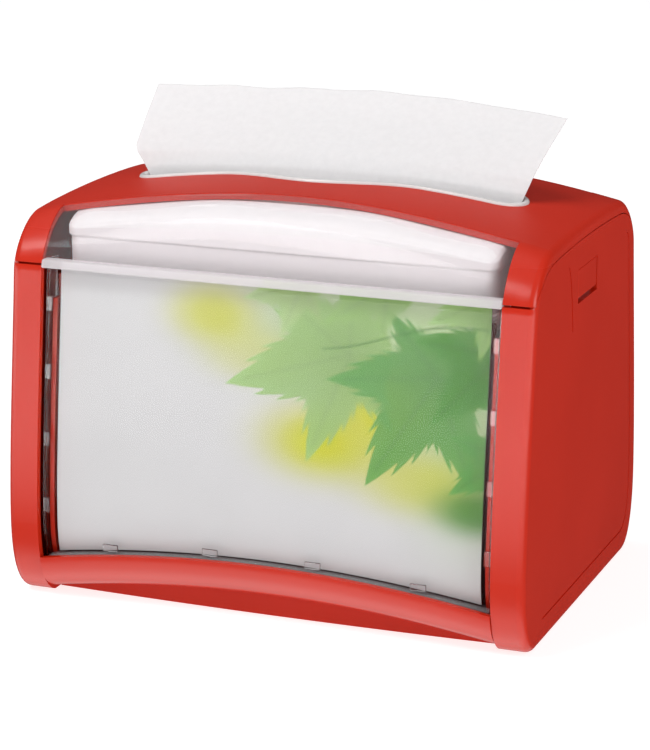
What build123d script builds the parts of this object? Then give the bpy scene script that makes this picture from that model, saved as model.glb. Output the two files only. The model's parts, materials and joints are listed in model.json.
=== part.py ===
"""Two-sided tabletop napkin dispenser: moulded end panels, lift-off hood with clear windows,
clear card holders on both long faces, and a sprung plate that pushes a napkin stack up to a slot.

Frame: millimetres, X along the long faces, the front face looks along -Y, Z up,
origin on the table under the middle of the dispenser.
"""
from build123d import *
import os
from math import cos, pi, sin

os.makedirs("parts", exist_ok=True)

# ---- driving dimensions ----------------------------------------------------------------------
HALF_WIDTH = 100.0
HALF_DEPTH = 73.5          # widest part of the end outline, at BELLY_Z
END_TOP = 143.8            # top of the hood at its two ends
CROWN = 11.2               # extra height of the hood in the middle
SEAM_Z = 126.5             # parting line between the lower housing and the hood
SEAM_GAP = 0.8
COLUMN = 12.2              # width of the corner columns seen from the front
OPENING_HALF = HALF_WIDTH - COLUMN
EDGE_RADIUS = 3.0
GROOVE_INSET = 9.4         # outline groove on the end panels, from the outer surface
GROUND_GAP = 0.5           # the feet lift the mouldings this far
FIT = 0.15                 # gap between parts that are assembled to each other

# ---- end outline -----------------------------------------------------------------------------
REST_HALF = 57.0           # half depth of the flat underside
BELLY_Z = 30.0
SHOULDER_Y = 64.5
SHOULDER_Z = 124.0
TOP_EDGE_Y = 44.0

# ---- wall thicknesses ------------------------------------------------------------------------
HOOD_WALL = 2.4
PANEL_WALL = 2.6
WINDOW_WALL = 2.0
HOLDER_WALL = 1.6
CARD_THICK = 0.35

# ---- insets from the outer surface -----------------------------------------------------------
HOLDER_INSET = 4.0
CARD_INSET = HOLDER_INSET + HOLDER_WALL + 0.4
FACEPLATE_TOP = HOOD_WALL + 0.25
FACEPLATE_UNDER = FACEPLATE_TOP + 1.55
STACK_INSET = 5.2
STACK_DIP = 8.0            # inset of the stack's top under the slot
HOLDER_TOP = 127.8
CARD_TOP = 127.2

# ---- base, sill and magazine -----------------------------------------------------------------
BASE_FLOOR = 2.4
BASE_TOP = 12.0
BASE_BOW = 2.0
BASE_FRONT = 56.4
SILL_LIFT = 7.7
SILL_BOTTOM = 1.6
SILL_HEIGHT = 15.0
MAGAZINE_X = 84.0
MAGAZINE_Y = 55.2
MAGAZINE_WALL = 1.8
MAGAZINE_TOP = 121.0
LUG_HALF = 5.8

# ---- pusher and napkins ----------------------------------------------------------------------
PLATE_Z = 58.0
PLATE_THICK = 2.6
STACK_HALF_X = 81.0
STACK_HALF_Y = 54.0
SPRING_X = 40.0
SPRING_RADIUS = 9.0

# ---- slot ------------------------------------------------------------------------------------
SLOT_HALF = 10.6
SLOT_BUMP = 8.9
SLOT_END = 76.8
INNER_SLOT_HALF = 5.4
INNER_SLOT_BUMP = 5.8
INNER_SLOT_END = 74.2

# ---- release button --------------------------------------------------------------------------
BUTTON_Y = -1.0
BUTTON_HALF = 11.8
BUTTON_TOP = 128.9
BUTTON_BOTTOM = 118.1
PIN_X = 95.8
PIN_Z = 127.2
PIN_RADIUS = 1.0
PIN_CLEARANCE = 0.06
TONGUE_X = 93.9            # outer face of the hood's catch tongue
NOSE_X = 94.1              # tip of the button's latch nose, just short of the tongue
BUTTON_INNER = 97.7        # back of the button plate
BUTTON_OUTER = 99.9

# ---- screws ----------------------------------------------------------------------------------
FACEPLATE_SCREW_X = 83.5
FACEPLATE_SCREW_Y = 31.0
FACEPLATE_HEAD_RADIUS = 2.3
FACEPLATE_HEAD_LOW = 140.3
FACEPLATE_HEAD_HIGH = 141.6
FACEPLATE_SHANK_RADIUS = 1.2
FACEPLATE_SHANK_HIGH = 145.7
FACEPLATE_HOLE_HIGH = 145.9    # blind hole in the hood, stops under its top surface
BASE_SCREW_X = 91.5
BASE_SCREW_Y = 44.0
BASE_BOSS_HEIGHT = 13.0

LARGE = 400.0


def crown_at(x):
    """Extra height of the hood at a distance x from the middle."""
    return CROWN * (1 - (x / HALF_WIDTH) ** 2)


def outline_half(crown, inset):
    """Control points of the rear half of the end outline, from the table to the ridge."""
    belly = HALF_DEPTH - inset
    shoulder = SHOULDER_Y - inset
    top = END_TOP + crown - inset
    corner = [(REST_HALF - 0.5 * inset, inset), (66 - 0.8 * inset, inset), (belly, 9 + 0.6 * inset),
              (belly, BELLY_Z)]
    wall = [corner[-1], (belly, 52), (67.3 - inset, 97), (shoulder, SHOULDER_Z)]
    bend = [wall[-1], (63.7 - inset, 131.7 - 0.1 * inset), (53.5 - 0.7 * inset, top - 2.15),
            (TOP_EDGE_Y - 0.3 * inset, top - 1.4)]
    ridge = [bend[-1], (30, top - 0.3), (12, top), (0, top)]
    return [corner, wall, bend, ridge]


def section(x, inset=0.0):
    """Face of the dispenser's cross-section at x, inset from the outer surface."""
    curves = outline_half(crown_at(x), inset)
    rear = [Bezier(*[(x, y, z) for y, z in curve]) for curve in curves]
    front = [Bezier(*[(x, -y, z) for y, z in reversed(curve)]) for curve in reversed(curves)]
    y, z = curves[0][0]
    floor = Line((x, -y, z), (x, y, z))
    return Face(Wire([floor] + rear + front))


def post(x, y, low, high, radius):
    """Upright cylinder between two heights."""
    return Pos(x, y, (low + high) / 2) * Cylinder(radius, high - low)


def body_block(inset=0.0, half_length=HALF_WIDTH):
    """Solid inside the outer surface, inset by a wall thickness and cut off at half_length."""
    stations = [-half_length, -half_length / 2, 0, half_length / 2, half_length]
    return loft([section(x, inset) for x in stations])


def box_between(low, high):
    """Box from its lowest to its highest corner."""
    size = [b - a for a, b in zip(low, high)]
    middle = [(a + b) / 2 for a, b in zip(low, high)]
    return Pos(*middle) * Box(*size)


def slab(z_low, z_high, half_x=LARGE, half_y=LARGE):
    return box_between((-half_x, -half_y, z_low), (half_x, half_y, z_high))


def mirror_x(shape):
    return mirror(shape, about=Plane.YZ)


def mirror_y(shape):
    return mirror(shape, about=Plane.XZ)


def solid_of(shape):
    """Largest solid of a boolean result."""
    return max(shape.solids(), key=lambda item: item.volume)


def write(name, *shapes):
    solids = [solid for shape in shapes for solid in shape.solids()]
    result = solids[0] if len(solids) == 1 else Compound(solids)
    export_step(result, f"parts/{name}.step")


# ---- plan outlines ---------------------------------------------------------------------------
def wave(x, reach):
    """Smooth bump: 1 in the middle, 0 from reach outwards."""
    return cos(pi * x / (2 * reach)) ** 2 if abs(x) < reach else 0.0


def slot_face(half, bump, end):
    """Slot outline: round ends, straight flanks and a bulge in the middle of both flanks."""
    reach = 40.0
    straight = end - half
    steps = [reach * i / 6 for i in range(-6, 7)]
    upper = [(x, half + bump * wave(x, reach)) for x in steps]
    lower = [(x, -y) for x, y in upper]
    level = [(1, 0), (1, 0)]
    edges = [
        Line((-straight, half), upper[0]),
        Spline(*upper, tangents=level),
        Line(upper[-1], (straight, half)),
        ThreePointArc((straight, half), (end, 0), (straight, -half)),
        Line((straight, -half), lower[-1]),
        Spline(*lower, tangents=level),
        Line(lower[0], (-straight, -half)),
        ThreePointArc((-straight, -half), (-end, 0), (-straight, half)),
    ]
    return Face(Wire(edges))


def slot_prism(half, bump, end):
    return Pos(0, 0, SEAM_Z) * extrude(slot_face(half, bump, end), 60, dir=(0, 0, 1))


def window_prism(gap):
    """Vertical prism over the front window: the red top edge behind it is a shallow wave."""
    half = OPENING_HALF - gap
    edge_y = -39.5 - gap
    drop = 5.3
    steps = [half * i / 6 for i in range(-6, 7)]
    edge = [(x, edge_y - drop * (1 - wave(x, 84.0))) for x in steps]
    outline = [
        Spline(*edge),
        Line(edge[-1], (half, -HALF_DEPTH - 10)),
        Line((half, -HALF_DEPTH - 10), (-half, -HALF_DEPTH - 10)),
        Line((-half, -HALF_DEPTH - 10), edge[0]),
    ]
    return extrude(Face(Wire(outline)), 300, dir=(0, 0, 1))


# ---- hood ------------------------------------------------------------------------------------
def under_hood_face(x, gap):
    """Area of the end face that belongs to the end panel: it stops below the hood's edge."""
    bend = [(63.2, SEAM_Z - gap), (60, 131.5 - gap), (54, 137 - gap), (43, 138.2 - gap)]
    ridge = [bend[-1], (30, 139.3 - gap), (12, 139.6 - gap), (0, 139.6 - gap)]
    halves = [bend, ridge]
    rear = [Bezier(*[(x, y, z) for y, z in curve]) for curve in halves]
    front = [Bezier(*[(x, -y, z) for y, z in reversed(curve)]) for curve in reversed(halves)]
    y, z = bend[0]
    low = SEAM_Z - gap - 2
    sides = [Line((x, -y, z), (x, -y, low)), Line((x, -y, low), (x, y, low)), Line((x, y, low), (x, y, z))]
    return Face(Wire(sides + rear + front))


def end_cap(gap, depth):
    """Prism of the end panel's upper area, measured inwards from both ends."""
    face = under_hood_face(HALF_WIDTH + 1, gap)
    cap = extrude(face, depth + 1, dir=(-1, 0, 0))
    return cap + mirror_x(cap)


def rounded_block():
    block = body_block()
    for side in (-1, 0):
        face = block.faces().sort_by(Axis.X)[side]
        block = fillet(face.edges(), EDGE_RADIUS)
    return block & slab(GROUND_GAP, LARGE)


BLOCK = rounded_block()


def catch_tongue():
    """Tongue that hangs from the hood inside an end panel, with a window for the latch nose."""
    tongue = box_between((TONGUE_X - 2, BUTTON_Y - 8, 114), (TONGUE_X, BUTTON_Y + 8, 146))
    window = box_between((TONGUE_X - 3, BUTTON_Y - 5, 115.8), (TONGUE_X + 1, BUTTON_Y + 5, 122.4))
    return (tongue - window) & body_block(0.5)


def faceplate_screw_spots():
    return [(i * FACEPLATE_SCREW_X, j * FACEPLATE_SCREW_Y) for i in (-1, 1) for j in (-1, 1)]


def hood_shell():
    hood = BLOCK & slab(SEAM_Z + SEAM_GAP / 2, LARGE)
    hood = hood - body_block(HOOD_WALL, HALF_WIDTH - PANEL_WALL) - end_cap(0.0, PANEL_WALL)
    hood = hood - window_prism(0) - mirror_y(window_prism(0))
    hood = hood - slot_prism(SLOT_HALF, SLOT_BUMP, SLOT_END)
    for x, y in faceplate_screw_spots():
        hood = hood - post(x, y, FACEPLATE_HEAD_LOW - 1, FACEPLATE_HOLE_HIGH, FACEPLATE_SHANK_RADIUS + 0.05)
    tongue = catch_tongue()
    return hood + tongue + mirror_x(tongue)


def window():
    skin = body_block(0.3, HALF_WIDTH - 1) - body_block(0.3 + WINDOW_WALL, HALF_WIDTH)
    pane = skin & window_prism(FIT) & slab(125.4, LARGE)
    rim = body_block(-0.6, HALF_WIDTH - 1) - body_block(3.4, HALF_WIDTH)
    rim = rim & slab(125.4, 128.4) & window_prism(FIT)
    return solid_of(pane + rim)


def slot_faceplate():
    skin = body_block(FACEPLATE_TOP, HALF_WIDTH - 1) - body_block(FACEPLATE_UNDER, HALF_WIDTH)
    plate = skin & slab(100, LARGE, half_x=86, half_y=38)
    lip = body_block(0.25, HALF_WIDTH - 1) - body_block(FACEPLATE_UNDER, HALF_WIDTH)
    lip = lip & slot_prism(SLOT_HALF - 0.2, SLOT_BUMP, SLOT_END - 0.2)
    lip = lip - slot_prism(SLOT_HALF - 1.8, SLOT_BUMP - 0.4, SLOT_END - 1.6)
    plate = plate + lip - slot_prism(INNER_SLOT_HALF, INNER_SLOT_BUMP, INNER_SLOT_END)
    for x, y in faceplate_screw_spots():
        hole_high = FACEPLATE_HOLE_HIGH + 3
        plate = plate - post(x, y, FACEPLATE_HEAD_LOW - 3, hole_high, FACEPLATE_SHANK_RADIUS + 0.15)
    return solid_of(plate)


def faceplate_screws():
    screws = []
    for x, y in faceplate_screw_spots():
        head = post(x, y, FACEPLATE_HEAD_LOW, FACEPLATE_HEAD_HIGH, FACEPLATE_HEAD_RADIUS)
        shank = post(x, y, FACEPLATE_HEAD_HIGH, FACEPLATE_SHANK_HIGH, FACEPLATE_SHANK_RADIUS)
        screws.append(head + shank)
    return screws


# ---- end panels and their buttons ------------------------------------------------------------
def screw_spots():
    return [(i * BASE_SCREW_X, j * BASE_SCREW_Y) for i in (-1, 1) for j in (-1, 1)]


def outline_groove():
    """Shallow groove that follows the rear and lower outline of an end panel."""
    outer = extrude(section(HALF_WIDTH + 1, GROOVE_INSET), 1.4, dir=(-1, 0, 0))
    inner = extrude(section(HALF_WIDTH + 2, GROOVE_INSET + 0.8), 4, dir=(-1, 0, 0))
    rear = box_between((99, 44, 4), (101, 80, 130.5))
    lower = box_between((99, -50, 4), (101, 80, 16))
    return (outer - inner) & (rear + lower)


def front_groove():
    """Short curved crease in front of the button."""
    crease = Spline((-24.7, 132.2), (-22.2, 126.0), (-20.3, 117.0), (-19.0, 107.5))
    centre = [crease @ (i / 6) for i in range(7)]
    left = [(point.X - 0.45, point.Y) for point in centre]
    right = [(point.X + 0.45, point.Y) for point in reversed(centre)]
    face = Plane.YZ * Face(Wire(Polyline(*left, *right, close=True).edges()))
    return Pos(HALF_WIDTH - 0.4, 0, 0) * extrude(face, 2)


def button_ears():
    ears = []
    for side in (-1, 1):
        low, high = sorted((BUTTON_Y + side * 9.3, BUTTON_Y + side * 14.3))
        ears.append(box_between((NOSE_X, low, 125.2), (97.45, high, 131)))
    return ears[0] + ears[1]


def pin_cylinder(radius, half_length):
    return Pos(PIN_X, BUTTON_Y, PIN_Z) * Rot(90, 0, 0) * Cylinder(radius, 2 * half_length)


def side_panel():
    inner_x = HALF_WIDTH - PANEL_WALL
    column = box_between((OPENING_HALF, -LARGE, 0), (LARGE, LARGE, SEAM_Z - SEAM_GAP / 2))
    lower = BLOCK & column
    top = BLOCK & end_cap(0.35, PANEL_WALL) & slab(SEAM_Z - SEAM_GAP, LARGE)
    top = top & box_between((0, -LARGE, 0), (LARGE, LARGE, LARGE))
    cavity = body_block(PANEL_WALL, inner_x)
    underside = box_between((0, -BASE_FRONT + 2, -1), (inner_x, BASE_FRONT - 2, PANEL_WALL + 1))
    panel = lower + top - cavity - underside
    window_low = BUTTON_BOTTOM - 1.7
    opening = box_between((97, BUTTON_Y - BUTTON_HALF - 0.4, window_low),
                          (102, BUTTON_Y + BUTTON_HALF + 0.4, BUTTON_TOP + 0.25))
    panel = panel - opening - outline_groove() - front_groove()
    panel = panel + button_ears() - pin_cylinder(PIN_RADIUS + PIN_CLEARANCE, 14)
    floor = GROUND_GAP + BASE_FLOOR + 0.05
    for x, y in screw_spots():
        if x > 0:
            boss = post(x, y, floor, floor + BASE_BOSS_HEIGHT, 3.2)
            rib = box_between((x, y - 0.9, floor), (inner_x + 0.5, y + 0.9, floor + BASE_BOSS_HEIGHT))
            panel = panel + boss + rib - post(x, y, floor - 1, floor + 11, 1.55)
    return solid_of(panel)


def release_button():
    face = box_between((BUTTON_INNER, BUTTON_Y - BUTTON_HALF, BUTTON_BOTTOM),
                       (BUTTON_OUTER, BUTTON_Y + BUTTON_HALF, BUTTON_TOP))
    corners = face.edges().filter_by(Axis.X).group_by(Axis.Z)[0]
    button = fillet(corners, 1.6)
    button = fillet(button.faces().sort_by(Axis.X)[-1].edges(), 0.4)
    for low, high in ((-9.0, -2.4), (2.4, 9.0)):
        boss_low = (NOSE_X + 0.1, BUTTON_Y + low, 125.5)
        button = button + box_between(boss_low, (BUTTON_INNER + 0.1, BUTTON_Y + high, 128.8))
    nose_low = (NOSE_X, BUTTON_Y - 3.5, 118.6)
    button = button + box_between(nose_low, (BUTTON_INNER + 0.1, BUTTON_Y + 3.5, 121.0))
    return button - pin_cylinder(PIN_RADIUS + PIN_CLEARANCE, 14)


def button_spring():
    """Torsion spring round the pin, between the button's two bosses."""
    return pin_cylinder(1.55, 2.1) - pin_cylinder(PIN_RADIUS + 0.12, 3)


# ---- base ------------------------------------------------------------------------------------
def base_plan(half, bow):
    """Base outline whose two long edges bow outwards."""
    side = OPENING_HALF - 0.4
    edges = [
        ThreePointArc((-side, -half), (0, -half - bow), (side, -half)),
        Line((side, -half), (side, half)),
        ThreePointArc((side, half), (0, half + bow), (-side, half)),
        Line((-side, half), (-side, -half)),
    ]
    return Face(Wire(edges))


def foot_spots():
    return [(x, y) for x in (-76, 76) for y in (-42, 42)]


def base_plate():
    plan = base_plan(BASE_FRONT, BASE_BOW)
    tray = Pos(0, 0, GROUND_GAP) * extrude(plan, BASE_TOP - GROUND_GAP, dir=(0, 0, 1))
    hollow = extrude(base_plan(BASE_FRONT - 2.2, BASE_BOW), LARGE, dir=(0, 0, 1))
    tray = tray - Pos(0, 0, GROUND_GAP + BASE_FLOOR) * hollow
    wing_x = HALF_WIDTH - PANEL_WALL - 0.2
    wing_y = BASE_FRONT - 2.2
    wings = slab(GROUND_GAP, GROUND_GAP + BASE_FLOOR, half_x=wing_x, half_y=wing_y)
    notch = slab(GROUND_GAP + BASE_FLOOR, LARGE, half_x=LARGE, half_y=wing_y)
    base = tray - notch + wings
    for x, y in foot_spots():
        base = base - post(x, y, -1.7, 1.7, 6.1)
    for x, y in screw_spots():
        base = base - post(x, y, -1.9, 1.9, 3.2) - post(x, y, -6, 6, 1.7)
    return solid_of(base)


def rubber_feet():
    return [fillet(post(x, y, 0, 1.7, 6.0).edges().sort_by(Axis.Z)[0], 0.3)
            for x, y in foot_spots()]


def base_screws():
    screws = []
    for x, y in screw_spots():
        head = post(x, y, 0.6, 1.8, 3.0)
        shank = post(x, y, 1.5, 12.5, 1.5)
        screws.append(head + shank)
    return screws


def sill():
    """Arched front sill: its rounded underside rises in the middle and shows the base below."""
    faces = []
    reach = OPENING_HALF - 0.2
    for x in (-reach, -reach / 2, 0, reach / 2, reach):
        lift = 1 - (x / OPENING_HALF) ** 2
        low = SILL_BOTTOM + SILL_LIFT * lift
        high = low + SILL_HEIGHT - 0.3 * lift
        back = BASE_FRONT + FIT + BASE_BOW * lift
        outer = Bezier((x, -back, low), (x, -66, low), (x, -72.4, low + 7.5), (x, -72.7, high))
        lip = Line((x, -72.7, high), (x, -70.4, high))
        inner = Bezier((x, -70.4, high), (x, -70.2, low + 9.5), (x, -65, low + 2.3), (x, -back, low + 2.3))
        heel = Line((x, -back, low + 2.3), (x, -back, low))
        faces.append(Face(Wire([outer, lip, inner, heel])))
    return loft(faces)


# ---- card holders ----------------------------------------------------------------------------
def holder_bottom(x):
    return 13.0 + SILL_LIFT * (1 - (x / OPENING_HALF) ** 2)


def arched_area(half, end_z, middle_z, top_z):
    """Prism over the front half of the dispenser, with an arched lower edge."""
    edge = ThreePointArc((-half, 0, end_z), (0, 0, middle_z), (half, 0, end_z))
    sides = Polyline((half, 0, end_z), (half, 0, top_z), (-half, 0, top_z), (-half, 0, end_z))
    return extrude(Face(Wire([edge] + list(sides.edges()))), 90, dir=(0, -1, 0))


def ad_holder():
    """Clear snap-in panel: a pane with side flanges and small snap tabs near its edges."""
    half = OPENING_HALF - 0.3
    front_only = box_between((-half, -LARGE, 0), (half, 0, HOLDER_TOP))
    pane = body_block(HOLDER_INSET, HALF_WIDTH - 1) - body_block(HOLDER_INSET + HOLDER_WALL, HALF_WIDTH)
    flange = body_block(HOLDER_INSET, HALF_WIDTH - 1) - body_block(HOLDER_INSET + 6.5, HALF_WIDTH)
    middle = slab(-LARGE, LARGE, half_x=half - 1.4)
    arch = arched_area(half, holder_bottom(half), holder_bottom(0), HOLDER_TOP)
    holder = (pane & front_only) + ((flange & front_only) - middle)
    holder = holder & arch
    tab_skin = body_block(HOLDER_INSET - 0.9, HALF_WIDTH - 1) - body_block(HOLDER_INSET + 0.5, HALF_WIDTH)
    for z in (34, 59, 84, 109):
        for side in (-1, 1):
            tab = box_between((side * 85.6 - 1.2, -LARGE, z), (side * 85.6 + 1.2, 0, z + 5.5))
            holder = holder + (tab_skin & tab)
    for x in (-60, -20, 20, 60):
        low = holder_bottom(x) + 4.5
        tab = box_between((x - 3, -LARGE, low), (x + 3, 0, low + 2.6))
        holder = holder + (tab_skin & tab)
    return solid_of(holder)


def ad_card():
    """Printed card behind the clear panel, with an arched lower edge above the sill."""
    sheet = body_block(CARD_INSET, HALF_WIDTH - 1) - body_block(CARD_INSET + CARD_THICK, HALF_WIDTH)
    return solid_of(sheet & arched_area(82.5, 18.2, 24.8, CARD_TOP))


# ---- magazine, pusher and napkins ------------------------------------------------------------
def magazine_end_wall():
    outer = MAGAZINE_X + MAGAZINE_WALL
    wall = box_between((MAGAZINE_X, -MAGAZINE_Y + 1, 3.0), (outer, MAGAZINE_Y - 1, MAGAZINE_TOP))
    wing = box_between((MAGAZINE_X, -LARGE, BASE_TOP + 0.5), (outer, LARGE, 113))
    wall = wall + (wing & body_block(CARD_INSET + CARD_THICK + 0.2))
    slot = box_between((80, -LUG_HALF - 0.5, 46), (90, LUG_HALF + 0.5, LARGE))
    return wall - slot


def magazine_long_wall():
    half_x = MAGAZINE_X - 1
    low = (-half_x, -MAGAZINE_Y - MAGAZINE_WALL, BASE_TOP + 0.2)
    return box_between(low, (half_x, -MAGAZINE_Y, MAGAZINE_TOP - 3))


def pusher_plate():
    half_x, half_y = 81.5, 52.5
    plate = slab(PLATE_Z, PLATE_Z + PLATE_THICK, half_x=half_x, half_y=half_y)
    skirt = slab(PLATE_Z - 6, PLATE_Z + 0.5, half_x=half_x, half_y=half_y)
    plate = plate + skirt - slab(PLATE_Z - 8, PLATE_Z, half_x=half_x - 2, half_y=half_y - 2)
    plate = fillet(plate.edges().filter_by(Axis.Z).group_by(Axis.X)[-1], 1.0)
    for side in (-1, 1):
        low, high = sorted((side * 80, side * 88))
        plate = plate + box_between((low, -LUG_HALF, PLATE_Z - 6), (high, LUG_HALF, PLATE_Z + 1))
        cup = (side * SPRING_X, 0, PLATE_Z - 6.1)
        plate = plate + (post(*cup, PLATE_Z + 0.1, 7.2) - post(*cup, PLATE_Z + 1, 5.4))
    return plate


def spring_seat():
    seat = post(SPRING_X, 0, 3.0, 6.0, 11.5)
    guide = post(SPRING_X, 0, 5.75, 26.25, 6.6)
    return fillet((seat + guide).edges().sort_by(Axis.Z)[-1], 1.5)


def pusher_spring():
    coil = post(SPRING_X, 0, 6.2, PLATE_Z - 0.2, SPRING_RADIUS)
    return coil - post(SPRING_X, 0, 0, PLATE_Z + 4, SPRING_RADIUS - 1.4)


def napkin_stack():
    room = slab(PLATE_Z + PLATE_THICK + 0.3, LARGE, half_x=STACK_HALF_X, half_y=STACK_HALF_Y)
    channel = slab(100, LARGE, half_y=12)
    return (body_block(STACK_INSET) & room) - channel + (body_block(STACK_DIP) & room)


def dispensed_napkin():
    """Top napkin standing out of the slot and leaning back."""
    path = [(1.2, 147.6), (1.6, 151.0), (5.0, 156.5), (17.0, 167.5), (30.0, 178.6)]
    thick = 0.6
    back = [(y + thick, z) for y, z in reversed(path)]
    profile = Plane.YZ * Face(Wire(Polyline(*path, *back, close=True).edges()))
    band = extrude(profile, 90, both=True)
    half_outline = [(73, 0, 140), (73, 0, 152), (82.5, 0, 179)]
    other_half = [(-x, y, z) for x, y, z in reversed(half_outline)]
    outline = Polyline(*half_outline, *other_half, close=True)
    return band & extrude(Face(Wire(outline.edges())), 90, both=True)


def build():
    hood = hood_shell()
    panel = side_panel()
    button = release_button()
    write("base_plate", base_plate())
    write("rubber_feet", *rubber_feet())
    write("base_screws", *base_screws())
    write("hood_shell", hood)
    write("slot_faceplate", slot_faceplate())
    write("faceplate_screws", *faceplate_screws())
    fronts = {"sill": sill(), "window": window(), "ad_holder": ad_holder(), "ad_card": ad_card(),
              "magazine_wall": magazine_long_wall()}
    for name, shape in fronts.items():
        write(f"{name}_front", shape)
        write(f"{name}_rear", mirror_y(shape))
    ends = {"side_panel": panel, "release_button": button, "button_spring": button_spring(),
            "button_pin": pin_cylinder(PIN_RADIUS, 12.3), "magazine_wall": magazine_end_wall(),
            "spring_seat": spring_seat(), "pusher_spring": pusher_spring()}
    for name, shape in ends.items():
        write(f"{name}_right", shape)
        write(f"{name}_left", mirror_x(shape))
    write("pusher_plate", pusher_plate())
    write("napkin_stack", napkin_stack())
    write("dispensed_napkin", dispensed_napkin())


build()
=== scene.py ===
"""Looks of the two-sided tabletop napkin dispenser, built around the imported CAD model."""
import json
import math

import bmesh
import bpy
import numpy as np
from mathutils import Matrix, Vector


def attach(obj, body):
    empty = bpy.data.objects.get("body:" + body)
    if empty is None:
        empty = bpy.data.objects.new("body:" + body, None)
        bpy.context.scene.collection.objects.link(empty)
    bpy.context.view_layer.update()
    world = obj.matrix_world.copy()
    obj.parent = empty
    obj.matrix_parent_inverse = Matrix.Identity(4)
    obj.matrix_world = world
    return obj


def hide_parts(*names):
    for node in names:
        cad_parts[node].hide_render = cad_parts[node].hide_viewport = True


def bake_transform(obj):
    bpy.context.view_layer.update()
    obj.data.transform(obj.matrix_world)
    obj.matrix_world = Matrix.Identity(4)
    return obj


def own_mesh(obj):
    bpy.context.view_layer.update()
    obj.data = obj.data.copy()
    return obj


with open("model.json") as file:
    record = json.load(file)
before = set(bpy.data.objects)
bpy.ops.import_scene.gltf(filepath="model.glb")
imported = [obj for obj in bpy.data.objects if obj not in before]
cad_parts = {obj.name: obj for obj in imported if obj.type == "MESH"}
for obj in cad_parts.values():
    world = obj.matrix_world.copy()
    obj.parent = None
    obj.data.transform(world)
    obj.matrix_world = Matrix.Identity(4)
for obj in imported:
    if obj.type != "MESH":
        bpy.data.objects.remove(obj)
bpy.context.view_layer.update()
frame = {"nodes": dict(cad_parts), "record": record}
NODES = frame["nodes"]

MM = 0.001

# ---- the dispenser's outer surface, in millimetres, as in the CAD model -----------------------
HALF_WIDTH = 100.0
HALF_DEPTH = 73.5
END_TOP = 143.8
CROWN = 11.2
REST_HALF = 57.0
BELLY_Z = 30.0
SHOULDER_Y = 64.5
SHOULDER_Z = 124.0
TOP_EDGE_Y = 44.0
OPENING_HALF = 87.8
SEAM_Z = 126.5


def crown_at(x):
    return CROWN * (1 - (x / HALF_WIDTH) ** 2)


def bezier(points, count):
    """Points along a cubic curve, without its last one."""
    p = np.array(points, float)
    t = np.linspace(0, 1, count, endpoint=False)[:, None]
    return (1 - t) ** 3 * p[0] + 3 * (1 - t) ** 2 * t * p[1] + 3 * (1 - t) * t * t * p[2] + t ** 3 * p[3]


def outline_half(x, inset, steps=60):
    """Dense (depth, height) points of the half outline at x, from the table to the ridge."""
    belly = HALF_DEPTH - inset
    shoulder = SHOULDER_Y - inset
    top = END_TOP + crown_at(x) - inset
    corner = [(REST_HALF - 0.5 * inset, inset), (66 - 0.8 * inset, inset), (belly, 9 + 0.6 * inset),
              (belly, BELLY_Z)]
    wall = [corner[-1], (belly, 52), (67.3 - inset, 97), (shoulder, SHOULDER_Z)]
    bend = [wall[-1], (63.7 - inset, 131.7 - 0.1 * inset), (53.5 - 0.7 * inset, top - 2.15),
            (TOP_EDGE_Y - 0.3 * inset, top - 1.4)]
    ridge = [bend[-1], (30, top - 0.3), (12, top), (0, top)]
    parts = [bezier(curve, steps) for curve in (corner, wall, bend, ridge)]
    return np.vstack(parts + [np.array([ridge[-1]], float)])


def cut_line(points, start, stop, count):
    """Evenly spaced points of a polyline between two of its arc lengths."""
    steps = np.linalg.norm(np.diff(points, axis=0), axis=1)
    length = np.concatenate([[0], np.cumsum(steps)])
    at = np.linspace(start, stop, count)
    return np.stack([np.interp(at, length, points[:, i]) for i in range(points.shape[1])], axis=1)


def length_where(points, column, value):
    """Arc length at which one coordinate of a polyline first passes a value."""
    steps = np.linalg.norm(np.diff(points, axis=0), axis=1)
    length = np.concatenate([[0], np.cumsum(steps)])
    side = points[:, column] - value
    crossing = np.nonzero(np.diff(np.sign(side)) != 0)[0]
    if len(crossing) == 0:
        return length[-1]
    i = crossing[0]
    share = side[i] / (side[i] - side[i + 1])
    return length[i] + share * (length[i + 1] - length[i])


# ---- meshes --------------------------------------------------------------------------------------
def add_object(name, vertices, faces, material, smooth=True):
    """Mesh object from millimetre vertices."""
    mesh = bpy.data.meshes.new(name)
    mesh.from_pydata([tuple(float(c) * MM for c in v) for v in vertices], [], faces)
    mesh.validate()
    mesh.materials.append(material)
    mesh.polygons.foreach_set("use_smooth", [smooth] * len(mesh.polygons))
    obj = bpy.data.objects.new(name, mesh)
    bpy.context.scene.collection.objects.link(obj)
    return obj


def grid_faces(rows, columns, start=0):
    faces = []
    for r in range(rows - 1):
        for c in range(columns - 1):
            a = start + r * columns + c
            faces.append((a, a + 1, a + 1 + columns, a + columns))
    return faces


def closed_sheet(front, back):
    """Vertices and faces of a thin closed solid between two grids of the same size."""
    rows, columns = front.shape[:2]
    count = rows * columns
    vertices = np.vstack([front.reshape(-1, 3), back.reshape(-1, 3)])
    faces = grid_faces(rows, columns)
    faces += [tuple(reversed(face)) for face in grid_faces(rows, columns, count)]
    rim = [c for c in range(columns)]
    rim += [r * columns + columns - 1 for r in range(1, rows)]
    rim += [(rows - 1) * columns + c for c in range(columns - 2, -1, -1)]
    rim += [r * columns for r in range(rows - 2, 0, -1)]
    for i, a in enumerate(rim):
        b = rim[(i + 1) % len(rim)]
        faces.append((b, a, a + count, b + count))
    return vertices, faces


def surface_grid(xs, inset, low, high, count):
    """Grid on the dispenser's front surface. low and high give a height or a depth for each x."""
    rows = []
    for x in xs:
        line = outline_half(x, inset)
        start = length_where(line, *low(x))
        stop = length_where(line, *high(x))
        part = cut_line(line, start, stop, count)
        rows.append([(x, -y, z) for y, z in part])
    return np.array(rows)


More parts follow.
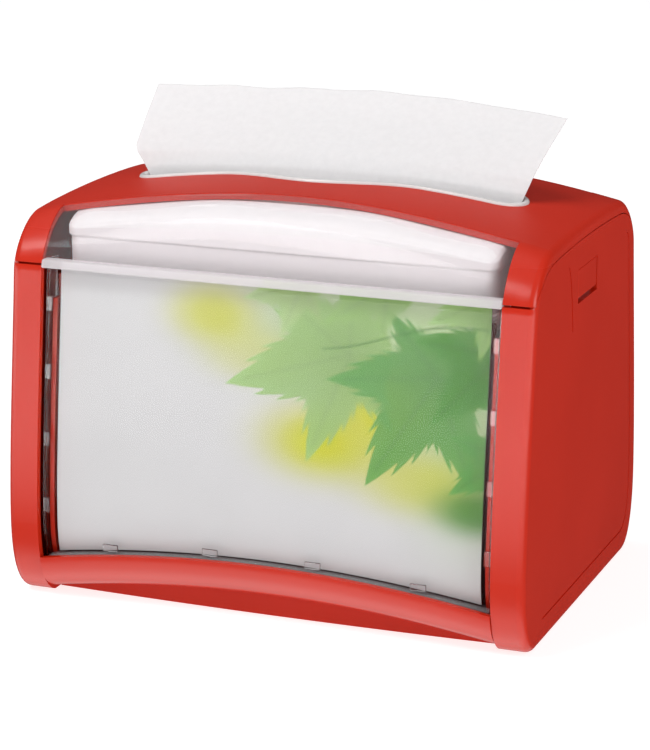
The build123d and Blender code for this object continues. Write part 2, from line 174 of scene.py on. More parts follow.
def smooth_by_angle(obj, degrees=35):
    """Flat shading only across edges sharper than an angle."""
    bm = bmesh.new()
    bm.from_mesh(obj.data)
    bm.normal_update()
    limit = math.radians(degrees)
    for edge in bm.edges:
        sharp = len(edge.link_faces) == 2 and edge.calc_face_angle(0) > limit
        edge.smooth = not sharp
    bmesh.ops.recalc_face_normals(bm, faces=bm.faces)
    bm.to_mesh(obj.data)
    bm.free()
    return obj


# ---- materials ----------------------------------------------------------------------------------------
class Nodes:
    """Short way to build a material's node tree."""

    def __init__(self, name):
        self.material = bpy.data.materials.new(name)
        self.material.use_nodes = True
        self.tree = self.material.node_tree
        self.shader = self.tree.nodes["Principled BSDF"]

    def add(self, kind, **values):
        node = self.tree.nodes.new(kind)
        for key, value in values.items():
            if hasattr(node, key):
                setattr(node, key, value)
            else:
                node.inputs[key.replace("_", " ")].default_value = value
        return node

    def link(self, source, target):
        self.tree.links.new(source, target)

    def set(self, **values):
        for key, value in values.items():
            self.shader.inputs[key.replace("_", " ")].default_value = value

    def coordinates(self):
        return self.add("ShaderNodeTexCoord").outputs["Object"]

    def noise(self, scale, detail=2.0, roughness=0.5, stretch=None):
        """Noise in object space: scale is in cycles per metre."""
        node = self.add("ShaderNodeTexNoise", Scale=scale, Detail=detail, Roughness=roughness)
        source = self.coordinates()
        if stretch:
            mapping = self.add("ShaderNodeMapping")
            mapping.inputs["Scale"].default_value = stretch
            self.link(source, mapping.inputs["Vector"])
            source = mapping.outputs["Vector"]
        self.link(source, node.inputs["Vector"])
        return node.outputs["Fac"]

    def ramp(self, factor, stops):
        node = self.add("ShaderNodeValToRGB")
        elements = node.color_ramp.elements
        while len(elements) < len(stops):
            elements.new(0.5)
        for element, (place, color) in zip(elements, stops):
            element.position = place
            element.color = (*color, 1.0)
        self.link(factor, node.inputs["Fac"])
        return node.outputs["Color"]

    def level(self, factor, low, high):
        """Maps 0..1 to low..high."""
        node = self.add("ShaderNodeMapRange")
        node.inputs["To Min"].default_value = low
        node.inputs["To Max"].default_value = high
        self.link(factor, node.inputs["Value"])
        return node.outputs["Result"]

    def math(self, operation, source, *values):
        node = self.add("ShaderNodeMath", operation=operation)
        self.link(source, node.inputs[0])
        for socket, value in zip(node.inputs[1:], values):
            socket.default_value = value
        return node.outputs["Value"]

    def bump(self, height, strength, distance, under=None):
        node = self.add("ShaderNodeBump", Strength=strength, Distance=distance)
        self.link(height, node.inputs["Height"])
        if under is not None:
            self.link(under, node.inputs["Normal"])
        return node.outputs["Normal"]


def red_plastic():
    """Semi-gloss red moulding with a fine spark-eroded grain, duller on the hood's top."""
    n = Nodes("red_plastic")
    tone = n.noise(18.0, detail=3.0)
    color = n.ramp(tone, [(0.3, (0.54, 0.0190, 0.0045)), (0.7, (0.58, 0.0215, 0.0060))])
    n.link(color, n.shader.inputs["Base Color"])
    grain = n.noise(1500.0, detail=2.0, roughness=0.6)
    coarse = n.noise(600.0, detail=1.0)
    bump = n.bump(grain, 0.18, 0.00012)
    bump = n.bump(coarse, 0.04, 0.0002, under=bump)
    n.link(bump, n.shader.inputs["Normal"])
    polish = n.level(n.noise(60.0, detail=4.0), 0.21, 0.25)
    height = n.add("ShaderNodeSeparateXYZ")
    n.link(n.coordinates(), height.inputs["Vector"])
    matt = n.add("ShaderNodeMapRange", interpolation_type="SMOOTHSTEP")
    n.link(height.outputs["Z"], matt.inputs["Value"])
    for socket, value in zip(matt.inputs[1:5], (0.135, 0.148, 0.0, 0.30)):
        socket.default_value = value
    rough = n.add("ShaderNodeMath", operation="ADD")
    n.link(polish, rough.inputs[0])
    n.link(matt.outputs["Result"], rough.inputs[1])
    n.link(rough.outputs["Value"], n.shader.inputs["Roughness"])
    n.set(IOR=1.5, Specular_IOR_Level=0.32)
    return n.material


def dark_plastic():
    n = Nodes("dark_plastic")
    tone = n.noise(40.0, detail=3.0)
    color = n.ramp(tone, [(0.3, (0.10, 0.008, 0.008)), (0.7, (0.14, 0.012, 0.012))])
    n.link(color, n.shader.inputs["Base Color"])
    n.link(n.bump(n.noise(2000.0), 0.2, 0.0001), n.shader.inputs["Normal"])
    n.set(Roughness=0.5)
    return n.material


def clear_plastic(name, tint, roughness):
    """Clear moulded plastic for thick rims, flanges and tabs, with faint flow marks."""
    n = Nodes(name)
    n.set(Base_Color=(*tint, 1.0), Roughness=roughness, IOR=1.49, Transmission_Weight=1.0)
    flow = n.noise(35.0, detail=2.0, stretch=(1.0, 1.0, 0.3))
    n.link(n.bump(flow, 0.03, 0.0006), n.shader.inputs["Normal"])
    return n.material


def clear_pane(name, tint, roughness, haze=0.0):
    """Thin clear wall: light passes straight through, and the surface reflects by its angle."""
    n = Nodes(name)
    through = n.add("ShaderNodeBsdfTransparent")
    through.inputs["Color"].default_value = (*tint, 1.0)
    mirror = n.add("ShaderNodeBsdfGlossy")
    mirror.inputs["Roughness"].default_value = roughness
    flow = n.noise(30.0, detail=2.0, stretch=(1.0, 1.0, 0.3))
    n.link(n.bump(flow, 0.02, 0.0006), mirror.inputs["Normal"])
    facing = n.add("ShaderNodeLayerWeight", Blend=0.5)
    steep = n.math("POWER", facing.outputs["Facing"], 4.0)
    share = n.math("MULTIPLY_ADD", steep, 0.4, 0.005)
    mix = n.add("ShaderNodeMixShader")
    n.link(share, mix.inputs["Fac"])
    n.link(through.outputs["BSDF"], mix.inputs[1])
    n.link(mirror.outputs["BSDF"], mix.inputs[2])
    result = mix
    if haze > 0:
        veil = n.add("ShaderNodeBsdfDiffuse")
        veil.inputs["Color"].default_value = (0.9, 0.88, 0.89, 1.0)
        result = n.add("ShaderNodeMixShader")
        result.inputs["Fac"].default_value = haze
        n.link(mix.outputs["Shader"], result.inputs[1])
        n.link(veil.outputs["BSDF"], result.inputs[2])
    output = n.tree.nodes["Material Output"]
    n.link(result.outputs["Shader"], output.inputs["Surface"])
    n.tree.nodes.remove(n.shader)
    return n.material


def white_plastic():
    n = Nodes("faceplate_plastic")
    n.link(n.ramp(n.noise(30.0), [(0.3, (0.70, 0.66, 0.65)), (0.7, (0.76, 0.73, 0.72))]),
           n.shader.inputs["Base Color"])
    n.link(n.bump(n.noise(1500.0), 0.08, 0.0001), n.shader.inputs["Normal"])
    n.set(Roughness=0.22)
    return n.material


def tissue(name, light):
    """Soft napkin paper: fine creping and loose fibres. light is its reflectance."""
    n = Nodes(name)
    tone = n.noise(400.0, detail=3.0)
    thin = (light - 0.02, light - 0.035, light - 0.028)
    thick = (light + 0.01, light - 0.005, light + 0.002)
    n.link(n.ramp(tone, [(0.3, thin), (0.7, thick)]), n.shader.inputs["Base Color"])
    crepe = n.noise(900.0, detail=3.0, stretch=(0.35, 1.0, 1.0))
    fibre = n.noise(2500.0, detail=3.0)
    bump = n.bump(crepe, 0.2, 0.00015)
    bump = n.bump(fibre, 0.2, 0.0001, under=bump)
    n.link(bump, n.shader.inputs["Normal"])
    n.set(Roughness=0.92, Sheen_Weight=0.2, Sheen_Roughness=0.6)
    n.set(Subsurface_Weight=0.1, Subsurface_Scale=0.001, Subsurface_Radius=(1.0, 0.9, 0.85))
    return n.material


def printed_card():
    """Coated card. Its print is the mesh's colour attribute, blended over faint paper mottle."""
    n = Nodes("printed_card")
    ink = n.add("ShaderNodeAttribute", attribute_name="print")
    mottle = n.ramp(n.noise(50.0), [(0.3, (0.97, 0.97, 0.97)), (0.7, (1.0, 1.0, 1.0))])
    blend = n.add("ShaderNodeMix", data_type="RGBA", blend_type="MULTIPLY")
    blend.inputs["Factor"].default_value = 1.0
    n.link(ink.outputs["Color"], blend.inputs["A"])
    n.link(mottle, blend.inputs["B"])
    n.link(blend.outputs["Result"], n.shader.inputs["Base Color"])
    n.set(Roughness=0.5, Specular_IOR_Level=0.15)
    return n.material


def black_rubber():
    n = Nodes("foot_rubber")
    n.link(n.ramp(n.noise(300.0), [(0.3, (0.02, 0.02, 0.02)), (0.7, (0.035, 0.035, 0.035))]),
           n.shader.inputs["Base Color"])
    n.link(n.bump(n.noise(1800.0), 0.3, 0.0001), n.shader.inputs["Normal"])
    n.set(Roughness=0.8)
    return n.material


def steel(name, tone):
    n = Nodes(name)
    n.link(n.ramp(n.noise(500.0, stretch=(1.0, 1.0, 8.0)), [(0.3, (tone,) * 3), (0.7, (tone * 1.15,) * 3)]),
           n.shader.inputs["Base Color"])
    n.link(n.level(n.noise(800.0), 0.22, 0.38), n.shader.inputs["Roughness"])
    n.set(Metallic=1.0)
    return n.material


MATERIALS = {
    "red_plastic": red_plastic(),
    "dark_plastic": dark_plastic(),
    "clear_window": clear_plastic("clear_window", (0.97, 0.93, 0.95), 0.04),
    "clear_holder": clear_plastic("clear_holder", (0.98, 0.96, 0.97), 0.02),
    "faceplate_white": white_plastic(),
    "printed_card": printed_card(),
    "napkin_paper": tissue("napkin_paper", 0.86),
    "foot_rubber": black_rubber(),
    "screw_steel": steel("screw_steel", 0.55),
    "spring_steel": steel("spring_steel", 0.45),
}

for row in frame["record"]["subparts"]:
    data = NODES[row["node"]].data
    data.materials.clear()
    data.materials.append(MATERIALS[row["material_slot"]])

# ---- visual pieces ------------------------------------------------------------------------------------
COLUMN_GAP = 0.3
HOLDER_INSET = 4.0
HOLDER_WALL = 1.6
CARD_INSET = 6.0
CARD_THICK = 0.35
CARD_HALF = 82.5


def shell_piece(name, material, xs, insets, low, high, count, side):
    """Closed wall between two insets of the long face. side is -1 for the front and 1 for the rear."""
    outer = surface_grid(xs, insets[0], low, high, count)
    inner = surface_grid(xs, insets[1], low, high, count)
    vertices, faces = closed_sheet(outer, inner)
    if side > 0:
        vertices = vertices * np.array([1, -1, 1])
        faces = [tuple(reversed(face)) for face in faces]
    obj = add_object(name, vertices, faces, material)
    return smooth_by_angle(obj)


def join_pieces(name, parts):
    """One object from several meshes."""
    bm = bmesh.new()
    for part in parts:
        bm.from_mesh(part.data)
    mesh = bpy.data.meshes.new(name)
    bm.to_mesh(mesh)
    bm.free()
    mesh.materials.append(parts[0].data.materials[0])
    for part in parts:
        bpy.data.objects.remove(part)
    obj = bpy.data.objects.new(name, mesh)
    bpy.context.scene.collection.objects.link(obj)
    return obj


def soften(obj, width=0.25, segments=2):
    """Rounds the sharp edges of a moulded piece."""
    bevel = obj.modifiers.new("bevel", "BEVEL")
    bevel.width = width * MM
    bevel.segments = segments
    bevel.limit_method = "ANGLE"
    bevel.angle_limit = math.radians(50)
    return obj


def arch(end, middle, half):
    """Height of an arched edge as a function of x."""
    return lambda x: middle + (end - middle) * (x / half) ** 2


def at_height(function):
    return lambda x: (1, function(x))


def window_edge(x):
    """Depth of the hood's wavy red edge above the window."""
    wave = math.cos(math.pi * x / 168.0) ** 2 if abs(x) < 84.0 else 0.0
    return 39.5 + 0.15 + 5.3 * (1 - wave)


def add_windows():
    pane_material = clear_pane("clear_window_pane", (0.99, 0.975, 0.98), 0.05, haze=0.04)
    rim_material = clear_pane("clear_window_rim", (0.97, 0.93, 0.95), 0.12, haze=0.45)
    half = OPENING_HALF - 0.15
    xs = np.linspace(-half, half, 61)
    for side, word in ((-1, "front"), (1, "rear")):
        pane = shell_piece(f"window_pane_{word}", pane_material, xs, (0.3, 2.3), at_height(lambda x: 128.0),
                           lambda x: (0, window_edge(x)), 34, side)
        rim = shell_piece(f"window_rim_{word}", rim_material, xs, (-0.6, 3.4),
                          at_height(lambda x: 125.4), at_height(lambda x: 128.4), 5, side)
        soften(rim, 0.5, 3)
        for piece in (pane, rim):
            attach(piece, "hood")
        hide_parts(f"window_{word}")


def add_holders():
    pane_material = clear_pane("clear_holder_pane", (0.99, 0.985, 0.988), 0.015)
    # The ledge's pink tint and whitish diffuse haze are painted reflection: they stand in for the pinkish glints that
    # the red parts and the lamps give this clear ledge.
    painted_glint_ledge_material = clear_pane("clear_holder_ledge_painted_glints", (0.9, 0.80, 0.82), 0.08, haze=0.22)
    glass = MATERIALS["clear_holder"]
    half = OPENING_HALF - COLUMN_GAP
    bottom = arch(13.0, 20.7, OPENING_HALF)
    top = at_height(lambda x: 127.8)
    inner = half - 1.4
    for side, word in ((-1, "front"), (1, "rear")):
        insets = (HOLDER_INSET, HOLDER_INSET + HOLDER_WALL)
        pane = shell_piece(f"holder_pane_{word}", pane_material, np.linspace(-inner, inner, 61), insets,
                           at_height(bottom), top, 60, side)
        parts = []
        for sign in (-1, 1):
            xs = np.array(sorted((sign * inner, sign * half)))
            flange = shell_piece("flange", glass, xs, (HOLDER_INSET, HOLDER_INSET + 6.5), at_height(bottom), top,
                                 70, side)
            parts.append(flange)
            for z in (34, 59, 84, 109):
                xs = np.array([sign * 85.6 - 1.2, sign * 85.6 + 1.2])
                low, high = at_height(lambda x, z=z: z), at_height(lambda x, z=z: z + 5.5)
                parts.append(shell_piece("tab", glass, xs, (HOLDER_INSET - 0.9, HOLDER_INSET - 0.01), low, high, 3, side))
        for x in (-60, -20, 20, 60):
            start = bottom(x) + 4.5
            low, high = at_height(lambda u, z=start: z), at_height(lambda u, z=start: z + 2.6)
            xs = np.array([x - 3.0, x + 3.0])
            parts.append(shell_piece("tab", glass, xs, (HOLDER_INSET - 0.9, HOLDER_INSET - 0.01), low, high, 3, side))
        trim = soften(join_pieces(f"holder_trim_{word}", parts), 0.2, 2)
        ledge_high = at_height(lambda x: bottom(x) + 3.4)
        ledge = shell_piece(f"holder_ledge_{word}", painted_glint_ledge_material, np.linspace(-inner, inner, 61),
                            (HOLDER_INSET - 0.5, HOLDER_INSET + 5.0), at_height(bottom), ledge_high, 4, side)
        soften(ledge, 0.5, 3)
        for piece in (pane, trim, ledge):
            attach(piece, "housing")
        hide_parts(f"ad_holder_{word}")


# ---- printed cards -------------------------------------------------------------------------------------
PAPER = np.array([0.665, 0.67, 0.67])
LEAF_GREEN = np.array([0.11, 0.33, 0.07])
LEAF_PALE = np.array([0.30, 0.49, 0.165])
LEAF_DEEP = np.array([0.07, 0.25, 0.03])
GLOW_YELLOW = np.array([0.56, 0.58, 0.005])
GLOW_GREEN = np.array([0.40, 0.56, 0.24])

# leaf base, leaf direction in degrees, size in mm, colour, softness in mm
LEAVES = [
    ((31, 103), 197, 47, LEAF_PALE, 0.9),
    ((64, 98), 238, 46, LEAF_GREEN, 0.8),
    ((86, 108), 228, 34, LEAF_DEEP, 0.8),
    ((44, 128), 160, 30, LEAF_PALE, 2.2),
    ((12, 126), 196, 22, GLOW_GREEN, 2.5),
    ((90, 72), 216, 24, LEAF_GREEN, 1.4),
    ((84, 128), 205, 26, LEAF_PALE, 2.0),
]
LOBES = ((0, 1.0, 45), (52, 0.86, 43), (-52, 0.86, 43), (106, 0.62, 40), (-106, 0.62, 40))
# centre, radii and strength of the blurred colour behind the leaves
GLOWS = [
    ((40, 112), (52, 24), 0.85, GLOW_GREEN),
    ((78, 84), (26, 40), 0.85, GLOW_GREEN),
    ((22, 71), (24, 14), 0.97, GLOW_YELLOW),
    ((44, 84), (18, 14), 0.97, GLOW_YELLOW),
    ((-22, 113), (17, 11), 0.80, GLOW_YELLOW),
    ((-6, 100), (20, 10), 0.45, GLOW_YELLOW),
    ((58, 60), (24, 12), 0.7, GLOW_YELLOW),
    ((80, 52), (16, 9), 0.9, LEAF_DEEP),
]


def smooth_share(value):
    value = np.clip(value, 0, 1)
    return value * value * (3 - 2 * value)


def leaf_share(x, z, base, direction, size, softness):
    """(coverage, vein) of a lobed leaf at points of the card."""
    dx, dz = x - base[0], z - base[1]
    radius = np.hypot(dx, dz) + 1e-9
    angle = np.degrees(np.arctan2(dz, dx)) - direction
    angle = (angle + 180) % 360 - 180
    reach = np.full_like(x, 0.34)
    vein = np.zeros_like(x)
    for centre, length, width in LOBES:
        off = (angle - centre + 180) % 360 - 180
        tooth = 0.15 * (1 - (np.abs(off) / 8.5) % 1)
        reach = np.maximum(reach, (length - 0.1 + tooth) * np.exp(-(np.abs(off) / width) ** 0.98))
        beside = radius * np.sin(np.radians(np.clip(np.abs(off), 0, 90)))
        vein = np.maximum(vein, np.exp(-(beside / 0.55) ** 2) * (radius < length * size * 0.9))
    cover = smooth_share((reach * size - radius) / softness + 0.5)
    return cover, vein * cover


def print_colors(x, z):
    """Leaf print: blurred green and yellow light behind a few lobed leaves on white."""
    color = np.repeat(PAPER[None, :], len(x), axis=0)
    for (cx, cz), (rx, rz), strength, tone in GLOWS:
        away = ((x - cx) / rx) ** 2 + ((z - cz) / rz) ** 2
        share = strength * np.exp(-away ** 1.5)
        color += share[:, None] * (tone - color)
    stem = np.abs((z - 112) - 0.12 * (x - 60) + 3 * np.sin(x / 14)) < 0.5
    stem = 0.5 * (stem & (x > 20))
    for base, direction, size, tone, softness in LEAVES:
        cover, vein = leaf_share(x, z, base, direction, size, softness)
        depth = np.hypot(x - base[0], z - base[1]) / size
        shade = tone * (0.85 + 0.3 * depth[:, None])
        color += (0.92 * cover)[:, None] * (shade - color)
        color += (0.35 * vein)[:, None] * (tone * 0.55 - color)
    color += stem[:, None] * (LEAF_DEEP * 0.7 - color)
    return color


def add_cards():
    bottom = arch(18.2, 24.8, CARD_HALF)
    xs = np.linspace(-CARD_HALF, CARD_HALF, 331)
    insets = (CARD_INSET, CARD_INSET + CARD_THICK)
    for side, word in ((-1, "front"), (1, "rear")):
        card = shell_piece(f"printed_card_{word}", MATERIALS["printed_card"], xs, insets, at_height(bottom),
                           at_height(lambda x: 127.2), 221, side)
        count = len(card.data.vertices)
        places = np.empty(count * 3, np.float32)
        card.data.vertices.foreach_get("co", places)
        places = places.reshape(-1, 3) / MM
        color = print_colors(-side * places[:, 0], places[:, 2])
        inner = np.arange(count) >= count // 2
        color[inner] = PAPER
        attribute = card.data.attributes.new("print", "FLOAT_COLOR", "POINT")
        attribute.data.foreach_set("color", np.hstack([color, np.ones((count, 1))]).astype(np.float32).ravel())
        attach(card, "housing")
        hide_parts(f"ad_card_{word}")


# ---- napkins -----------------------------------------------------------------------------------------------
STACK_LOW = 60.9
STACK_HALF_X = 83.3
STACK_HALF_Y = 54.6
STACK_INSET = 5.2
WINDOW_STACK_INSET = 2.75
FOLD_Z = 135.4             # lower edge of the topmost napkin, seen through the window
LAYER = 1.45


def interpolator(stations, values):
    return lambda x: np.interp(x, stations, values)


def stack_top(x, y):
    """Height of the stack's top under the hood, with a shallow channel under the slot."""
    depth = -abs(y)
    under_slot = np.interp(depth, -TOP_LINE[:, 0], TOP_LINE[:, 1])
    under_window = np.interp(depth, -WINDOW_LINE[:, 0], WINDOW_LINE[:, 1])
    share = smooth_share((abs(y) - 38.3) / 1.6)
    dip = 2.8 * smooth_share((17.0 - abs(y)) / 9.0)
    return under_slot + share * (under_window - under_slot) - dip + crown_at(x)


def add_napkin_stack():
    """Pressed stack of folded napkins: ragged layers on its sides, rounded by the hood on top."""
    rng = np.random.default_rng(11)
    corner = 4.0
    arc = np.radians(np.linspace(0, 90, 7))
    quarter = np.stack([np.cos(arc), np.sin(arc)], axis=1) * corner
    plan = []
    for sx, sy in ((1, 1), (-1, 1), (-1, -1), (1, -1)):
        points = quarter if sx * sy > 0 else quarter[::-1]
        middle = np.array([sx * (STACK_HALF_X - corner - 0.8), sy * (STACK_HALF_Y - corner - 0.8)])
        plan.append(points * np.array([sx, sy]) + middle)
    plan = np.vstack(plan + [plan[0][:1]])
    plan = cut_line(plan, 0, length_where(plan, 0, 1e9), 361)[:-1]
    outward = plan / np.linalg.norm(plan / np.array([STACK_HALF_X, STACK_HALF_Y]), axis=1)[:, None]
    outward /= np.linalg.norm(outward, axis=1)[:, None]
    edge_top = np.array([stack_top(x, y) for x, y in plan])
    layers = int((edge_top.max() - STACK_LOW) / LAYER)
    offsets = rng.normal(0, 0.22, (layers + 2, 4))
    rows = []
    around = np.linspace(0, 2 * math.pi, len(plan), endpoint=False)
    for i in range(layers * 5 + 1):
        share = i / (layers * 5)
        layer, inside = divmod(i, 5)
        round_off = -0.42 * abs(inside / 2.5 - 1) ** 2.5
        a, b, c, d = offsets[layer]
        push = round_off + a + b * np.sin(around + c * 9) + d * np.sin(3 * around + a * 7)
        z = STACK_LOW + share * (edge_top - STACK_LOW)
        wrapped = smooth_share((z - 119) / 3)
        push = np.clip(push, -1.2, 0.7) * (1 - wrapped) - 0.6 * wrapped
        push = push + 0.9 * smooth_share((z - FOLD_Z) / 0.7)
        settle = smooth_share((share - 0.975) / 0.025) ** 2
        xy = plan + outward * (push * (1 - settle) - 0.6 * settle)[:, None]
        rows.append(np.column_stack([xy, z]))
    for share in np.linspace(0.03, 0.985, 34):
        keep = 1 - share
        xy = (plan - outward * 0.6) * keep
        z = np.array([stack_top(x, y) for x, y in xy])
        z += 0.25 * np.sin(xy[:, 0] / 9 + 1.3) * np.sin(xy[:, 1] / 6) * (share > 0.05)
        rows.append(np.column_stack([xy, z]))
    columns = len(plan)
    vertices = np.vstack(rows + [[(0, 0, stack_top(0, 0))], [(0, 0, STACK_LOW)]])
    faces = []
    for r in range(len(rows) - 1):
        for c in range(columns):
            d = (c + 1) % columns
            faces.append((r * columns + c, r * columns + d, (r + 1) * columns + d, (r + 1) * columns + c))
    last = (len(rows) - 1) * columns
    for c in range(columns):
        d = (c + 1) % columns
        faces.append((last + c, last + d, len(vertices) - 2))
        faces.append((d, c, len(vertices) - 1))
    stack = smooth_by_angle(add_object("napkin_layers", vertices, faces, MATERIALS["napkin_paper"]), 60)
    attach(stack, "pusher")
    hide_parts("napkin_stack")
    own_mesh(stack)


TOP_LINE = outline_half(HALF_WIDTH, STACK_INSET)
TOP_LINE = TOP_LINE[np.argmax(TOP_LINE[:, 1] > 125):]
WINDOW_LINE = outline_half(HALF_WIDTH, WINDOW_STACK_INSET)
WINDOW_LINE = WINDOW_LINE[np.argmax(WINDOW_LINE[:, 1] > 125):]


def add_dispensed_napkin():
    """Two-ply napkin standing out of the slot: it widens above the slot and leans back."""
    path = np.array([(1.2, 147.6), (1.4, 149.4), (1.9, 151.6), (5.0, 156.5), (17.0, 167.3), (30.0, 177.9)])
    total = length_where(path, 0, 1e9)
    rows, columns = 60, 150
    line = cut_line(path, 0, total, rows)
    left = interpolator([0.0, 0.09, 0.22, 0.30, 1.0], [73.5, 75.8, 80.6, 82.3, 82.6])
    right = interpolator([0.0, 0.09, 0.20, 1.0], [73.5, 74.9, 76.2, 82.4])
    grid = np.empty((rows, columns, 3))
    for r in range(rows):
        v = r / (rows - 1)
        u = np.linspace(-1, 1, columns)
        x = np.where(u < 0, u * left(v), u * right(v))
        bulge = (1 - u * u)
        lean = smooth_share(v / 0.8)
        y = line[r, 0] + lean * (4.5 * bulge + 0.9 * np.sin(3.1 * u + 1.0) + 0.35 * np.sin(9 * u + 2 * v))
        z = line[r, 1] + lean * (2.8 * bulge - 1.1 * (u + 1) * v) + (1 - lean) * 3.4 * bulge
        z += v ** 3 * (0.35 * np.sin(5 * u + 0.5) + 0.2 * np.sin(17 * u))
        grid[r] = np.column_stack([x, y, z])
    normal = np.array([0.0, -0.68, 0.73])
    ripple = 0.12 * np.sin(np.linspace(0, 40, columns))[None, :, None] * np.linspace(0, 1, rows)[:, None, None]
    grid = grid + ripple * normal
    vertices, faces = closed_sheet(grid, grid + np.array([0, 0.42, -0.12]))
    napkin = smooth_by_angle(add_object("napkin_sheet", vertices, faces, tissue("napkin_sheet_paper", 0.775)), 60)
    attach(napkin, "hood")
    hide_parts("dispensed_napkin")


# ---- springs ---------------------------------------------------------------------------------------------------
def coil(name, start, axis, side, radius, wire, turns, length, material):
    """Helical spring: start point, unit axis, a unit vector across it, then sizes in mm."""
    axis, side = np.array(axis, float), np.array(side, float)
    third = np.cross(axis, side)
    steps, ring = int(turns * 28), 8
    vertices, faces = [], []
    for i in range(steps + 1):
        t = i / steps
        angle = 2 * math.pi * turns * t
        rise = t
        closed = 0.06
        if t < closed:
            rise = 0.35 * t
        elif t > 1 - closed:
            rise = 1 - 0.35 * (1 - t)
        else:
            ends = 0.35 * closed
            rise = ends + (t - closed) / (1 - 2 * closed) * (1 - 2 * ends)
        out = math.cos(angle) * side + math.sin(angle) * third
        centre = np.array(start) + axis * (wire + rise * (length - 2 * wire)) + out * radius
        for k in range(ring):
            turn = 2 * math.pi * k / ring
            vertices.append(centre + wire * (math.cos(turn) * out + math.sin(turn) * axis))
    for i in range(steps):
        for k in range(ring):
            m = (k + 1) % ring
            faces.append((i * ring + k, i * ring + m, (i + 1) * ring + m, (i + 1) * ring + k))
    faces.append(tuple(range(ring)))
    faces.append(tuple(reversed(range(steps * ring, steps * ring + ring))))
    return smooth_by_angle(add_object(name, vertices, faces, material), 60)


def add_springs():
    steel_wire = MATERIALS["spring_steel"]
    for sign, word in ((1, "right"), (-1, "left")):
        x = sign * 40.0
        spring = coil(f"pusher_coil_{word}", (x, 0, 6.2), (0, 0, 1), (1, 0, 0), 8.2, 0.75, 9, 51.4, steel_wire)
        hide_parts(f"pusher_spring_{word}")
        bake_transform(spring)
        torsion = coil(f"button_coil_{word}", (sign * 95.8, -3.1, 127.2), (0, 1, 0), (1, 0, 0), 1.33, 0.2, 8, 4.2,
                       steel_wire)
        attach(torsion, f"button_{word}")
        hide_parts(f"button_spring_{word}")


def surface_height(x, y):
    line = outline_half(x, 0.0)
    upper = line[np.argmax(line[:, 1] > 125):]
    return np.interp(-abs(y), -upper[:, 0], upper[:, 1])


def add_slot_bead():
    """White rounded bead that stands round the slot, on the faceplate's lip."""
    half, bump, end, reach, thick = 9.5, 8.7, 75.7, 40.0, 1.15
    straight = end - half
    along = np.linspace(-straight, straight, 121)
    bulge = np.where(np.abs(along) < reach, np.cos(np.pi * along / (2 * reach)) ** 2, 0.0)
    upper = np.column_stack([along, half + bump * bulge])
    turn = np.radians(np.linspace(90, -90, 25))[1:-1]
    cap = np.column_stack([straight + half * np.cos(turn), half * np.sin(turn)])
    plan = np.vstack([upper, cap, -upper, -cap])
    ring, count = 10, len(plan)
    vertices, faces = [], []
    for i, (x, y) in enumerate(plan):
        heading = plan[(i + 1) % count] - plan[i - 1]
        heading /= np.linalg.norm(heading)
        centre = np.array([x, y, surface_height(x, y) - 0.15])
        out = np.array([heading[1], -heading[0], 0.0])
        for k in range(ring):
            a = 2 * math.pi * k / ring
            vertices.append(centre + thick * (math.cos(a) * out + math.sin(a) * np.array([0, 0, 1.0])))
    for i in range(count):
        j = (i + 1) % count
        for k in range(ring):
            m = (k + 1) % ring
            faces.append((i * ring + k, i * ring + m, j * ring + m, j * ring + k))
    bead = smooth_by_angle(add_object("slot_bead", vertices, faces, MATERIALS["faceplate_white"]), 80)
    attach(bead, "hood")


add_slot_bead()
add_windows()
add_holders()
add_cards()
add_napkin_stack()
add_dispensed_napkin()
add_springs()


# ---- camera, light and floor ------------------------------------------------------------------------
SENSOR = 36.0
IMAGE_HEIGHT = 750.0


def add_camera():
    """Camera at the solved azimuth and elevation, aimed at a point near the object's middle."""
    azimuth, elevation, roll = (math.radians(a) for a in (21.286, 15.560, -0.13))
    focal, distance = 2771.9, 1.04835
    aim = Vector((-1.265, 0.325, 76.47)) * MM
    back = Vector((math.sin(azimuth) * math.cos(elevation), -math.cos(azimuth) * math.cos(elevation),
                   math.sin(elevation)))
    right = Vector((math.cos(azimuth), math.sin(azimuth), 0))
    up = back.cross(right)
    turned_right = right * math.cos(roll) + up * math.sin(roll)
    turned_up = up * math.cos(roll) - right * math.sin(roll)
    data = bpy.data.cameras.new("camera")
    data.sensor_width = SENSOR
    data.lens = focal * SENSOR / IMAGE_HEIGHT
    data.shift_x = -0.0036
    data.shift_y = 0.0005
    data.clip_start = 0.05
    camera = bpy.data.objects.new("camera", data)
    place = aim + back * distance
    rows = Matrix((turned_right, turned_up, back)).transposed().to_4x4()
    camera.matrix_world = Matrix.Translation(place) @ rows
    bpy.context.scene.collection.objects.link(camera)
    bpy.context.scene.camera = camera


def add_area(name, place, target, size, power, color=(1, 1, 1)):
    data = bpy.data.lights.new(name, "AREA")
    data.shape = "RECTANGLE"
    data.size, data.size_y = size
    data.energy = power
    data.color = color
    light = bpy.data.objects.new(name, data)
    light.location = place
    light.rotation_euler = (Vector(target) - Vector(place)).to_track_quat("-Z", "Y").to_euler()
    bpy.context.scene.collection.objects.link(light)


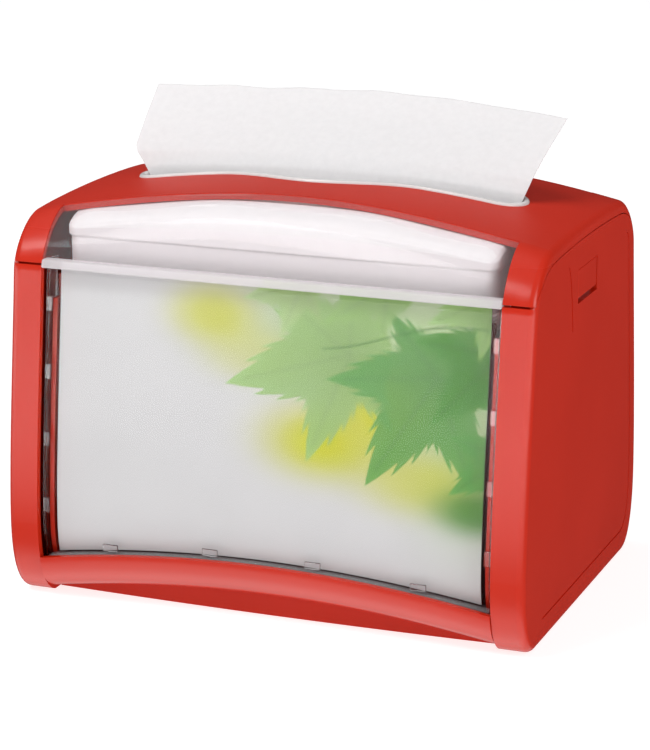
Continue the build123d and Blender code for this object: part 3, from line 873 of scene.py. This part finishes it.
def studio_world():
    """World whose brightness depends on direction: dim sides, a soft top light, and a bright low
    band in front. The floor hides the lower half from everything but reflections."""
    world = bpy.data.worlds.new("studio")
    world.use_nodes = True
    tree = world.node_tree
    background = tree.nodes["Background"]
    direction = tree.nodes.new("ShaderNodeTexCoord").outputs["Generated"]
    parts = tree.nodes.new("ShaderNodeSeparateXYZ")
    tree.links.new(direction, parts.inputs["Vector"])

    def ramp_of(source, low, high, stops):
        spread = tree.nodes.new("ShaderNodeMapRange")
        spread.inputs["From Min"].default_value = low
        spread.inputs["From Max"].default_value = high
        tree.links.new(source, spread.inputs["Value"])
        node = tree.nodes.new("ShaderNodeValToRGB")
        elements = node.color_ramp.elements
        while len(elements) < len(stops):
            elements.new(0.5)
        for element, (place, value) in zip(elements, stops):
            element.position = (place - low) / (high - low)
            element.color = (value / 10, value / 10, value / 10, 1.0)
        tree.links.new(spread.outputs["Result"], node.inputs["Fac"])
        return node.outputs["Color"]

    def combine(operation, first, second):
        node = tree.nodes.new("ShaderNodeMath")
        node.operation = operation
        for value, socket in zip((first, second), node.inputs):
            if isinstance(value, float):
                socket.default_value = value
            else:
                tree.links.new(value, socket)
        return node.outputs["Value"]

    height = ramp_of(parts.outputs["Z"], -1.0, 1.0, WORLD_HEIGHT)
    band = ramp_of(parts.outputs["Z"], -0.4, 0.2, WORLD_BAND)
    front = ramp_of(parts.outputs["Y"], -1.0, 1.0, WORLD_FRONT)
    back = ramp_of(parts.outputs["Y"], -1.0, 1.0, WORLD_BACK)
    low_front = combine("MULTIPLY", band, front)
    upper = combine("MULTIPLY", height, back)
    total = combine("MULTIPLY", combine("ADD", upper, low_front), 100.0)
    background.inputs["Color"].default_value = (1, 1, 1, 1)
    tree.links.new(total, background.inputs["Strength"])
    bpy.context.scene.world = world


# (sine of elevation, radiance) stops
WORLD_HEIGHT = [(-1.0, 3.0), (-0.66, 2.4), (-0.5, 0.3), (-0.1, 0.10), (0.1, 0.25), (0.5, 0.38), (0.7, 0.6), (1.0, 0.55)]
WORLD_BAND = [(-0.4, 0.0), (-0.28, 0.1), (-0.2, 2.4), (-0.12, 3.2), (-0.07, 7.5), (-0.035, 8.0), (-0.02, 0.1), (0.2, 0.0)]
# (y of the direction, weight) stops
WORLD_FRONT = [(-1.0, 1.0), (-0.35, 1.0), (0.0, 0.1), (1.0, 0.0)]
WORLD_BACK = [(-1.0, 1.0), (-0.1, 1.0), (0.35, 0.35), (1.0, 0.25)]


def add_studio():
    studio_world()
    middle = (0, 0, 0.08)
    add_area("key", (-0.50, -0.73, 1.13), middle, (0.5, 0.36), 7.6)
    add_area("right_fill", (1.2, -0.5, 0.6), middle, (0.6, 0.6), 6.0)
    add_area("top_box", (-0.45, 0.15, 1.43), middle, (0.5, 0.42), 3.4)
    floor = add_object("floor", [(-4000, -4000, 0), (4000, -4000, 0), (4000, 4000, 0), (-4000, 4000, 0)],
                       [(0, 1, 2, 3)], floor_material())
    floor.visible_glossy = False
    bpy.context.scene.view_settings.view_transform = "Standard"


def floor_material():
    """White sweep lit from behind, so that it stays white up to the horizon."""
    n = Nodes("floor")
    n.link(n.ramp(n.noise(4.0), [(0.3, (0.43, 0.43, 0.43)), (0.7, (0.45, 0.45, 0.45))]), n.shader.inputs["Base Color"])
    n.set(Roughness=0.8, Emission_Color=(1, 1, 1, 1), Emission_Strength=0.81)
    return n.material


add_camera()
add_studio()
